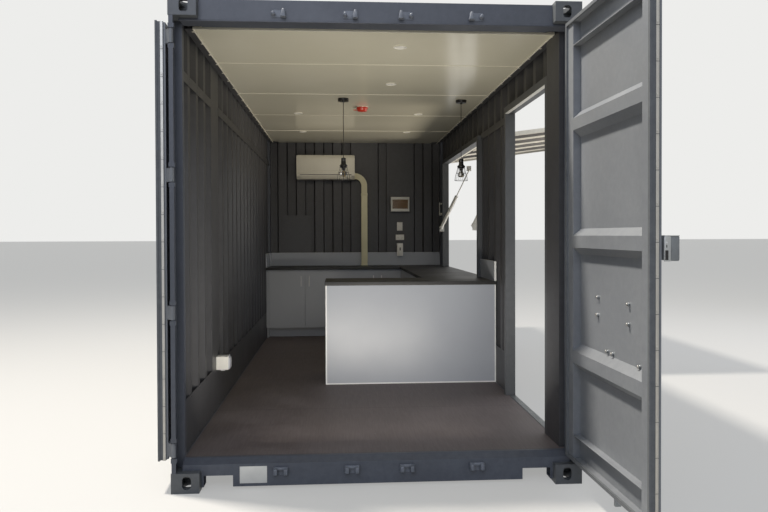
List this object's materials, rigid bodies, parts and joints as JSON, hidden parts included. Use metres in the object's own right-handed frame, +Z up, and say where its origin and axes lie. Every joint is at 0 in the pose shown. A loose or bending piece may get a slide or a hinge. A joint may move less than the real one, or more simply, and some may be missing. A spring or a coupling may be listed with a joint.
{
  "type": "container shop",
  "caption": "Shipping container fitted out as a small shop, with cargo doors open, a side doorway, a raised serving hatch, benches and ceiling lights.",
  "frame": {"origin": "ground level, at the centre of the four bottom corner castings' apertures", "axes": "+X along the container away from the cargo doors, -Y toward the serving side, +Z up"},
  "size_m": [7.2476, 3.9259, 2.896],
  "materials": {
    "frame_paint": "satin",
    "wall_paint": "satin",
    "sill_plate": "worn satin",
    "galvanised_steel": "dull",
    "handle_steel": "brushed",
    "floor_plywood": "matt, worn",
    "ceiling_white": "satin",
    "white_plastic": "satin",
    "red_cap": "matt",
    "black_plastic": "matt",
    "black_cord": "matt",
    "cabinet_board": "satin laminate",
    "counter_board": "satin laminate",
    "bench_laminate": "satin laminate",
    "black_rubber": "matt"
  },
  "bodies": {
    "container": {"corner_castings": "frame_paint", "door_posts": "frame_paint", "closed_end_frame": "frame_paint", "door_header": "frame_paint", "door_sill": "sill_plate", "top_side_rails": "frame_paint", "bottom_side_rails": "frame_paint", "cross_members": "frame_paint", "floor_boards": "floor_plywood", "roof_sheet": "wall_paint", "left_wall": "wall_paint", "end_wall": "wall_paint", "serving_side_heads": "wall_paint", "serving_side_walls": "wall_paint", "hatch_apron": "wall_paint", "doorway_side_panel": "wall_paint", "doorway_frame": "frame_paint", "hatch_frame": "frame_paint", "hatch_flap_frame": "frame_paint", "hatch_flap_sheet": "wall_paint", "gas_struts": "galvanised_steel", "wall_rails": "wall_paint", "cover_plates": "wall_paint", "ceiling_panels": "ceiling_white", "ceiling_trim": "ceiling_white", "downlight_cans": "white_plastic", "smoke_detector": "red_cap", "pendant_roses": "black_plastic", "pendant_flex_left": "black_cord", "pendant_flex_right": "black_cord", "pendant_lamp_left": "black_plastic", "pendant_lamp_right": "black_plastic", "air_conditioner": "white_plastic", "pipe_trunking": "white_plastic", "switchboard": "white_plastic", "wall_outlets": "white_plastic", "base_cabinet": "cabinet_board", "cabinet_doors": "cabinet_board", "cabinet_handles": "handle_steel", "counter_panels": "counter_board", "bench_top": "bench_laminate", "upstand": "counter_board", "cam_keepers": "frame_paint"},
    "left_door": {"left_door_leaf": "wall_paint", "left_door_gasket": "black_rubber", "left_lock_rods": "galvanised_steel", "left_hinge_blades": "frame_paint"},
    "right_door": {"right_door_leaf": "wall_paint", "right_door_gasket": "black_rubber", "right_lock_rods": "galvanised_steel", "right_hinge_blades": "frame_paint", "lock_box": "frame_paint"}
  },
  "joints": [
    {"name": "left_door_hinge", "type": "hinge", "parent": "container", "child": "left_door", "pos_m": [-3.015, 1.205, 1.4555], "axis": [0, 0, -1], "range_deg": [-267, 0]},
    {"name": "right_door_hinge", "type": "hinge", "parent": "container", "child": "right_door", "pos_m": [-3.015, -1.205, 1.4555], "axis": [0, 0, 1], "range_deg": [-91.1, 172.7]}
  ]
}
